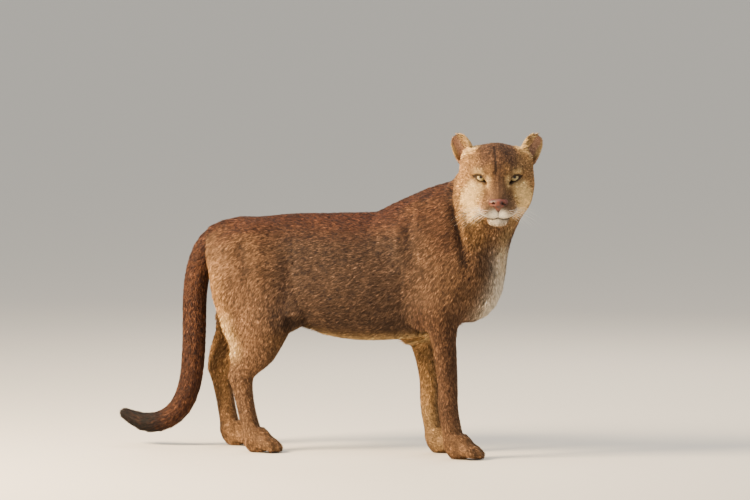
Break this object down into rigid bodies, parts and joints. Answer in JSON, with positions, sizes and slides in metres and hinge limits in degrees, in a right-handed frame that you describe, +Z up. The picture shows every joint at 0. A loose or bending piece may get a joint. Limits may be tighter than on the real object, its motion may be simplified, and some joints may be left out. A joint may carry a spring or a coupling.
{
  "type": "cougar",
  "caption": "Life-size standing cougar with its head turned to its right, its tail hanging behind and short tawny fur.",
  "frame": {"origin": "on the floor, under the centre of the whole animal's box", "axes": "+X forwards along the body, +Y to the animal's left, +Z up"},
  "size_m": [1.1426, 0.3134, 0.8115],
  "materials": {
    "tawny_coat": "short dense tawny fur",
    "pale_coat": "short dense pale fur",
    "dark_coat": "short dense dark fur",
    "nose_leather": "moist bare skin",
    "eye": "wet clear cornea over a pale iris"
  },
  "bodies": {
    "root": {"rump": "tawny_coat", "belly": "pale_coat", "chest": "tawny_coat", "neck": "tawny_coat", "head": "tawny_coat", "nose": "nose_leather", "ear_left": "tawny_coat", "ear_right": "tawny_coat", "eye_left": "eye", "eye_right": "eye", "tail_root": "tawny_coat", "tail_middle": "tawny_coat", "tail_tip": "dark_coat", "upper_foreleg_left": "tawny_coat", "lower_foreleg_left": "tawny_coat", "forepaw_left": "tawny_coat", "thigh_left": "tawny_coat", "lower_hind_leg_left": "tawny_coat", "hind_paw_left": "tawny_coat", "upper_foreleg_right": "tawny_coat", "lower_foreleg_right": "tawny_coat", "forepaw_right": "tawny_coat", "thigh_right": "tawny_coat", "lower_hind_leg_right": "tawny_coat", "hind_paw_right": "tawny_coat"}
  },
  "joints": []
}
